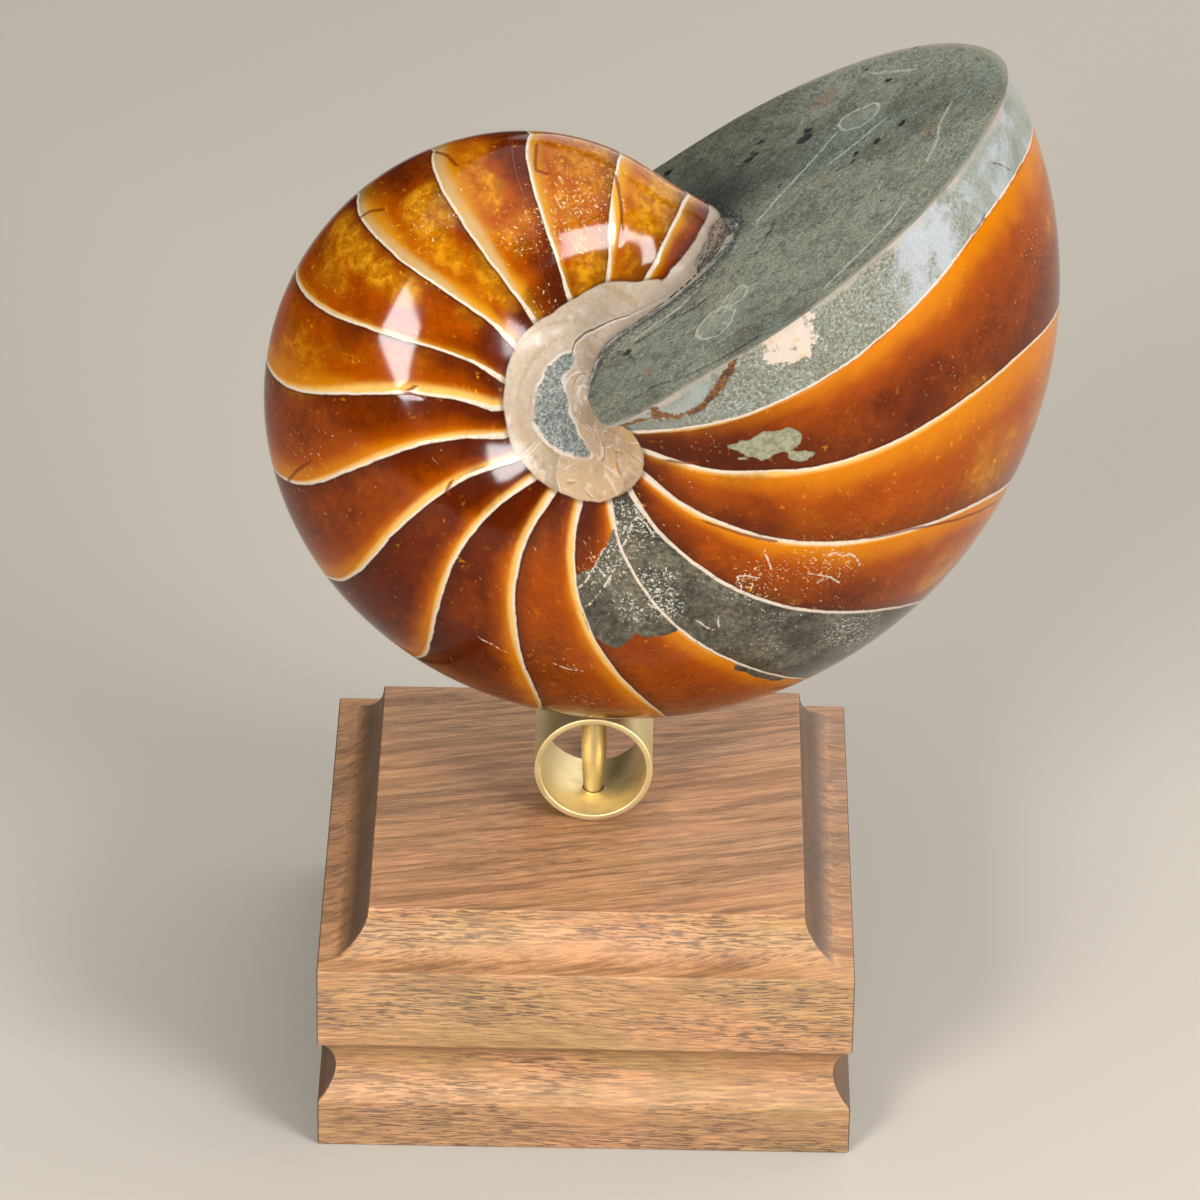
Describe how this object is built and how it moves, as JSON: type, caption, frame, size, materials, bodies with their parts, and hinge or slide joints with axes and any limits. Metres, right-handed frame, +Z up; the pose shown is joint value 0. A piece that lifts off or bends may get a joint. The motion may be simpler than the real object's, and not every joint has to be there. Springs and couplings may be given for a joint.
{
  "type": "fossil nautilus",
  "caption": "Polished fossil nautilus with a flat sawn aperture, pinned upright on a short brass tube and a square moulded wooden plinth.",
  "frame": {"origin": "centre of the plinth's underside", "axes": "+Z up, -Y the front, towards which the coil's axis points, +X the side on which the sawn end rises"},
  "size_m": [0.1468, 0.1079, 0.1976],
  "materials": {
    "fossil": "polished",
    "brushed_brass": "brushed satin",
    "turned_brass": "turned",
    "walnut": "oiled"
  },
  "bodies": {
    "root": {"nautilus": "fossil", "brass_tube": "brushed_brass", "brass_pin": "turned_brass", "plinth": "walnut"}
  },
  "joints": []
}
